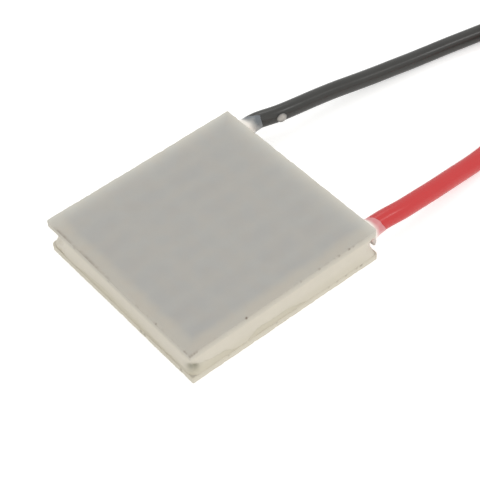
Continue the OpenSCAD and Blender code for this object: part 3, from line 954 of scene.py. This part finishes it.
def cable_tie(black_d, red_d):
    """Cable tie: a band of even width round the bundle, a head with a slot, and the cut tail in it.

    Places are the distance from the coil's axis, the distance along the turns, and the height.
    """
    at = math.radians(TIE_ANGLE)
    outwards = np.array([math.cos(at), math.sin(at), 0])
    along = np.array([-math.sin(at), math.cos(at), 0])

    def place(r, t, z):
        r, t, z = (part[..., None] for part in np.broadcast_arrays(r, t, z))
        return np.array([*COIL, 0]) + r * outwards + t * along + z * [0, 0, 1]

    gap = TIE_T / 2 + TIE_GAP
    low = (TURN_IN - red_d / 2 - gap, TIE_LIFT - gap)
    high = (TURN_OUT + red_d / 2 + gap, TIE_LIFT + black_d + red_d + gap)
    half, middle = (np.array(high) - low) / 2, (np.array(high) + low) / 2
    route, normal = rounded_rectangle(half, BAND_BEND, 9)
    width, height = rounded_rectangle((TIE_WIDTH / 2, TIE_T / 2), BAND_CORNER, 3)[0].T
    r = middle[0] + route[:, :1] + normal[:, :1] * height
    z = middle[1] + route[:, 1:] + normal[:, 1:] * height
    band = loft("band", place(r, width, z), loop=True)
    # The head is one closed ring: up its outside, and back down through its slot
    tail_r = high[0] + TAIL_OUT
    bevel, foot, top = HEAD_BEVEL, middle[1] - TIE_HEAD / 2, middle[1] + TIE_HEAD / 2
    rows = []
    for inset, z in ((bevel, foot), (0, foot + bevel), (0, top - bevel), (bevel, top)):
        ring = rounded_rectangle((TIE_HEAD_H / 2 - inset, TIE_HEAD / 2 - inset), HEAD_CORNER, 5)[0]
        rows.append(place(high[0] + TIE_HEAD_H / 2 + ring[:, 0], ring[:, 1], z))
    for grow, z in ((SLOT_BEVEL, top), (0, top - 0.1), (0, foot + 0.1), (SLOT_BEVEL, foot)):
        ring = rounded_rectangle((TIE_T + grow, TIE_WIDTH / 2 + grow - 0.05), SLOT_CORNER, 5)[0]
        rows.append(place(tail_r + ring[:, 0], ring[:, 1], z))
    head = loft("head", np.array(rows), loop=True)
    ring = rounded_rectangle((TIE_T / 2, TIE_WIDTH / 2 - 0.15), BAND_CORNER, 3)[0]
    ends = foot - 0.1, high[1] + TIE_T / 2
    rings = np.array([place(tail_r + ring[:, 0], ring[:, 1], z) for z in ends])
    tail = loft("tail", rings, place(tail_r, 0, ends[0]), place(tail_r, 0, ends[1]))
    return join("cable_tie", [band, head, tail])


class COOLER_OT_leads(bpy.types.Operator):
    """Make both leads whole, from the glue to the bare tips."""

    bl_idname = "cooler.leads"
    bl_label = "Leads"

    def execute(self, context):
        look = context.scene.cooler_leads
        black_d, red_d, step = look.black_d / MM, look.red_d / MM, look.step / MM
        tin = metal("copper_tinned", look.tin_colour, "B5B1A8", 0.34, 0.3, 0.01)
        black = extruded_pvc("pvc_black", look.black_colour, "545450", 0.27)
        red = extruded_pvc("pvc_red", look.red_colour, "D24A48", 0.24)
        # The red lead's turns lie on the black one's
        for name, route, end, layer, d, material in (
            ("black", BLACK_ROUTE, BLACK_END, black_d / 2, black_d, black),
            ("red", RED_ROUTE, RED_END, black_d + red_d / 2, red_d, red),
        ):
            points, (root, point) = coiled_path(route, end, layer, d / 2)
            path = spline(points, step)
            along = np.arange(len(path))[:, None] * step
            spin = np.arange(look.sides) / look.sides * 2 * math.pi
            shape = 0.994 + 0.006 * ripple(along + 0 * spin, 9.0, 3, 4) * np.cos(spin + along / 7)
            lead = sweep(name + "_insulation", path, d / 2, look.sides, shape=shape)
            finish_piece(lead, material, name + "_pvc", name + "_lead", "lead_coil")
            # Seven strands show as lobes that twist, and the solder rounds them off at the end
            tip_path = np.linspace(root, point, TIP_ROWS)
            lay = np.linspace(0, TIP_LENGTH, TIP_ROWS)[:, None]
            tip_path[:, 2] -= (point[2] - CONDUCTOR_D / 2) * (lay[:, 0] / TIP_LENGTH) ** 2
            spin = np.arange(TIP_SIDES) / TIP_SIDES * 2 * math.pi
            lobes = 0.88 + 0.12 * np.abs(np.cos(STRANDS / 2 * (spin + lay * 2 * math.pi / STRAND_LAY)))
            lobes = lobes + (1 - lobes) * smoothstep(TIP_LENGTH - 1.6, TIP_LENGTH - 0.4, lay)
            tip = sweep(
                name + "_tinned_tip", tip_path, CONDUCTOR_D / 2, TIP_SIDES, shape=lobes, round_end=0.5
            )
            finish_piece(tip, tin, "tinned_copper", name + "_lead_tip")
            with_pieces = [tip]
            if name == "black":
                k = np.searchsorted(path[:, 0], DROP_X)
                along = unit(path[k + 1] - path[k])
                out = np.array([0, math.cos(DROP_ANGLE), math.sin(DROP_ANGLE)])
                out = unit(out - along * (out @ along))
                drop = glue_drop("glue_drop", path[k] + out * d / 2, along, out, DROP_SIZE)
                glue = clear_glue("glue_dropped", context.scene.cooler_glue, "3E3F40")
                finish_piece(drop, glue, "clear_glue")
                tie = cable_tie(black_d, red_d)
                finish_piece(tie, moulded_nylon(), "white_nylon", "coil_tie")
                with_pieces += [drop, tie]
        return {"FINISHED"}


# Glue


def turned(*levels):
    """Function of the angle round a lead that passes smoothly through (degrees, value) pairs."""
    degrees, values = np.array(levels, float).T

    def at(angle):
        k = np.searchsorted(degrees, np.degrees(angle) % 360, "right") - 1
        gap = (degrees[(k + 1) % len(degrees)] - degrees[k]) % 360
        t = smoothstep(0, 1, ((np.degrees(angle) - degrees[k]) % 360) / gap)
        return values[k] * (1 - t) + values[(k + 1) % len(degrees)] * t

    return at


def exit_glue(name, y, lead_r, lip, length, foot, seed):
    """Glue sleeve turned about the lead: a hollow flank from its foot to its lip, pulled about.

    The flank is a quarter of an ellipse from foot(angle) to length(angle), with ripples. Inside,
    the sleeve follows the insulation and then closes on the bare conductor.
    """
    count = 72
    spin = np.arange(count) / count * 2 * math.pi
    t = np.linspace(0, math.pi / 2, 16)[:, None]
    flank = 1 - np.sin(t)
    dent = 1 + 0.12 * ripple(spin, 2 * math.pi, seed, 5) + 0.05 * ripple(t + spin, 2.0, seed + 1, 3)
    out = lead_r + lip + (foot(spin) * dent - lip) * flank
    start = PLATE_HALF + 0.004
    along = start + length(spin) * (1 - np.cos(t)) * (1 + 0.05 * ripple(spin, 2 * math.pi, seed + 2, 4))
    bare, covered = CONDUCTOR_D / 2 + 0.01, lead_r + 0.008
    inner = ((along[-1] + 0.03, covered), (EXIT_X + 0.02, covered), (EXIT_X, bare), (start, bare))
    out = np.vstack([out] + [np.full((1, count), r) for _, r in inner])
    along = np.vstack([along] + [np.broadcast_to(x, (1, count)) for x, _ in inner])
    z = np.clip(LEAD_Z + out * np.sin(spin), 0.05, HOT_HIGH[2] - 0.02)
    rings = np.stack([along, y + out * np.cos(spin), z], -1)
    thin = np.zeros(out.shape)
    thin[: len(t)] = smoothstep(0.6, 1.0, 1 - flank) + 0 * spin
    thin[len(t) :] = 1
    return loft(name, rings, loop=True, attributes={"thin": thin})


def glue_drop(name, middle, along, out, size):
    """Drop of glue: an ellipsoid with its sizes along the lead, across it and outwards."""
    u = np.arange(32) / 32 * 2 * math.pi
    v = np.linspace(0, math.pi, 18)[1:-1, None]
    swell = (1 + 0.06 * ripple(u, 2 * math.pi, 3, 3))[:, None]
    across = np.cross(along, out)
    ring = (np.cos(u)[:, None] * across * size[1] + np.sin(u)[:, None] * out * size[2]) * swell
    rings = middle - np.cos(v)[..., None] * along * size[0] + np.sin(v)[..., None] * ring
    ends = middle - along * size[0], middle + along * size[0]
    thin = 1 - 0.45 * np.sin(v) * np.sin(u)
    return loft(name, rings, *ends, attributes={"thin": thin})


class COOLER_OT_glue(bpy.types.Operator):
    """Make the clear glue round the leads where they come out, and the drop on the black one."""

    bl_idname = "cooler.glue"
    bl_label = "Glue"

    def execute(self, context):
        look = context.scene.cooler_glue
        leads = context.scene.cooler_leads
        # Lengths and feet in mm by the angle round a lead, from +Y over the top to -Y
        black = exit_glue(
            "black_glue",
            LEAD_Y,
            leads.black_d / MM / 2,
            look.lip / MM,
            turned((37, 0.8), (127, 2.2), (190, 2.6), (217, 2.5), (300, 1.8)),
            turned((37, 0.4), (127, 0.5), (217, 0.42), (300, 0.3)),
            seed=41,
        )
        finish_piece(black, clear_glue("glue_over_black", look, "6A6F73"), "clear_glue", "black_exit_fillet")
        red = exit_glue(
            "red_glue",
            -LEAD_Y,
            leads.red_d / MM / 2,
            look.lip / MM,
            turned((37, 0.7), (127, 1.25), (217, 1.55), (300, 1.3)),
            turned((37, 0.4), (127, 0.48), (210, 0.5), (255, 0.14), (320, 0.14)),
            seed=43,
        )
        finish_piece(red, clear_glue("glue_over_red", look, "CF8789"), "clear_glue", "red_exit_fillet")
        return {"FINISHED"}


# Finishes of the carried pieces


class COOLER_OT_inner(bpy.types.Operator):
    """Give the pellets, tabs, solder and conductors their finishes."""

    bl_idname = "cooler.inner"
    bl_label = "Inner pieces"

    def execute(self, context):
        # Rolled copper tabs, bonded and left bare: warm, satin, with coarse grains
        copper = metal("copper_rolled", "C9835F", "B9744F", 0.38, 0.25, 0.01)
        # Bismuth telluride, hot pressed and diced: grey, with bright cleavage grains
        p_type = metal("telluride_p_diced", "8B8D93", "6E7077", 0.48, 0.18, 0.02, 0.9)
        n_type = metal("telluride_n_diced", "7B7E88", "5F626B", 0.5, 0.18, 0.02, 0.9)
        # Tin antimony solder, reflowed: grey and slightly grainy
        solder = metal("solder_reflowed", "BFBFBB", "A9A9A5", 0.4, 0.12, 0.01)
        tinned = bpy.data.materials["copper_tinned"]
        finishes = (
            ("p_pellets", p_type), ("n_pellets", n_type), ("hot_tabs", copper), ("cold_t", copper),
            ("black_lead_pad", copper), ("red_lead_pad", copper), ("hot_side_solder", solder),
            ("cold_side_solder", solder), ("black_solder", solder), ("red_solder", solder),
            ("black_conductor", tinned), ("red_conductor", tinned),
        )
        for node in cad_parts:
            for start, material in finishes:
                if node.startswith(start):
                    piece = bpy.data.objects[node]
                    piece.data.materials.clear()
                    piece.data.materials.append(material)
        return {"FINISHED"}


# Stage


# Lamps: name, azimuth and elevation in degrees, distance and size in metres, power in watts
LAMPS = (
    ("front_lamp", -25, 25, 0.5, 0.35, 0.52),
    ("rear_lamp", 150, 55, 0.5, 0.2, 0.35),
    ("streak_lamp", 35, 50, 0.5, 0.06, 0.19),
)
# The floor's half side and how far it lies below the part, in metres, and its own glow
FLOOR_HALF, FLOOR_DROP, FLOOR_GLOW = 2.0, 0.00002, 0.45
WHITE = (1, 1, 1, 1)


def area_lamp(name, azimuth, elevation, distance, size, power):
    """Soft square lamp that looks at the module from a direction."""
    a, e = math.radians(azimuth), math.radians(elevation)
    back = Vector((math.sin(a) * math.cos(e), -math.cos(a) * math.cos(e), math.sin(e)))
    data = bpy.data.lights.new(name, "AREA")
    data.size = size
    data.energy = power
    lamp = bpy.data.objects.new(name, data)
    lamp.location = back * distance
    lamp.rotation_euler = (-back).to_track_quat("-Z", "Y").to_euler()
    bpy.context.scene.collection.objects.link(lamp)


class COOLER_OT_stage(bpy.types.Operator):
    """Make the camera, the floor, the room's light and the lamps."""

    bl_idname = "cooler.stage"
    bl_label = "Stage"

    def execute(self, context):
        look = context.scene.cooler_stage
        self.camera(look)
        self.floor(look)
        self.world(look)
        for lamp in LAMPS:
            area_lamp(*lamp)
        context.scene.view_settings.view_transform = "Standard"
        return {"FINISHED"}

    def camera(self, look):
        """Camera on a sphere round its target, turned about its own axis by the roll."""
        a, e, roll = look.azimuth, look.elevation, look.roll
        back = Vector((math.sin(a) * math.cos(e), -math.cos(a) * math.cos(e), math.sin(e)))
        level = Vector((math.cos(a), math.sin(a), 0))
        right = math.cos(roll) * level + math.sin(roll) * back.cross(level)
        up = back.cross(right)
        data = bpy.data.cameras.new("camera")
        data.lens = look.focal
        data.sensor_width = 36.0
        data.clip_start = 0.005
        data.clip_end = 20.0
        camera = bpy.data.objects.new("camera", data)
        turn = Matrix((right, up, back)).transposed().to_4x4()
        place = look.target + back * look.distance
        camera.matrix_world = Matrix.Translation(place) @ turn
        bpy.context.scene.collection.objects.link(camera)
        bpy.context.scene.camera = camera

    def floor(self, look):
        """Pale floor that a camera sees near white but for the module's own shadow."""
        mesh = bpy.data.meshes.new("floor")
        s, z = FLOOR_HALF, -FLOOR_DROP
        mesh.from_pydata([(-s, -s, z), (s, -s, z), (s, s, z), (-s, s, z)], [], [(0, 1, 2, 3)])
        floor = bpy.data.objects.new("floor", mesh)
        bpy.context.scene.collection.objects.link(floor)
        material = bpy.data.materials.new("floor_matt_white")
        material.use_nodes = True
        tree = material.node_tree
        tree.nodes.clear()
        paint = add(tree, "ShaderNodeBsdfDiffuse", {"Color": linear(look.floor_colour)})
        glow = add(tree, "ShaderNodeEmission", {"Color": WHITE, "Strength": FLOOR_GLOW})
        lit = add(tree, "ShaderNodeAddShader", {0: paint, 1: glow})
        both = add(tree, "ShaderNodeMixShader", {0: directly_seen(tree), 1: paint, 2: lit})
        add(tree, "ShaderNodeOutputMaterial", {"Surface": both})
        mesh.materials.append(material)

    def world(self, look):
        """White room: plain light on everything, and white behind it where it is looked at."""
        world = bpy.data.worlds.new("white_room")
        bpy.context.scene.world = world
        world.use_nodes = True
        tree = world.node_tree
        tree.nodes.clear()
        room = add(tree, "ShaderNodeBackground", {"Color": WHITE, "Strength": look.ambient})
        white = add(tree, "ShaderNodeBackground", {"Color": WHITE, "Strength": 1.0})
        both = add(tree, "ShaderNodeMixShader", {0: directly_seen(tree), 1: room, 2: white})
        add(tree, "ShaderNodeOutputWorld", {"Surface": both})


class COOLER_PT_panel(bpy.types.Panel):
    """Lists the settings and the steps."""

    bl_idname = "COOLER_PT_panel"
    bl_label = "Cooling module"
    bl_space_type = "VIEW_3D"
    bl_region_type = "UI"
    bl_category = "Cooling module"

    def draw(self, context):
        for operator, group in STEPS:
            box = self.layout.box()
            if group:
                settings = getattr(context.scene, group)
                for key in settings.__annotations__:
                    box.prop(settings, key)
            box.operator(operator.bl_idname)


STEPS = (
    (COOLER_OT_stage, "cooler_stage"),
    (COOLER_OT_leads, "cooler_leads"),
    (COOLER_OT_plates, "cooler_plates"),
    (COOLER_OT_bead, "cooler_bead"),
    (COOLER_OT_glue, "cooler_glue"),
    (COOLER_OT_inner, None),
)
GROUPS = {
    "cooler_stage": StageSettings,
    "cooler_leads": LeadSettings,
    "cooler_plates": PlateSettings,
    "cooler_bead": BeadSettings,
    "cooler_glue": GlueSettings,
}


def register():
    """Registers the settings, the operators and the panel."""
    for name, group in GROUPS.items():
        bpy.utils.register_class(group)
        setattr(bpy.types.Scene, name, PointerProperty(type=group))
    for operator, _ in STEPS:
        bpy.utils.register_class(operator)
    bpy.utils.register_class(COOLER_PT_panel)


def unregister():
    """Undoes register."""
    bpy.utils.unregister_class(COOLER_PT_panel)
    for operator, _ in reversed(STEPS):
        bpy.utils.unregister_class(operator)
    for name, group in GROUPS.items():
        delattr(bpy.types.Scene, name)
        bpy.utils.unregister_class(group)


def main():
    """Makes every piece in order."""
    register()
    for operator, _ in STEPS:
        group, step = operator.bl_idname.split(".")
        getattr(getattr(bpy.ops, group), step)()


if __name__ == "__main__":
    main()
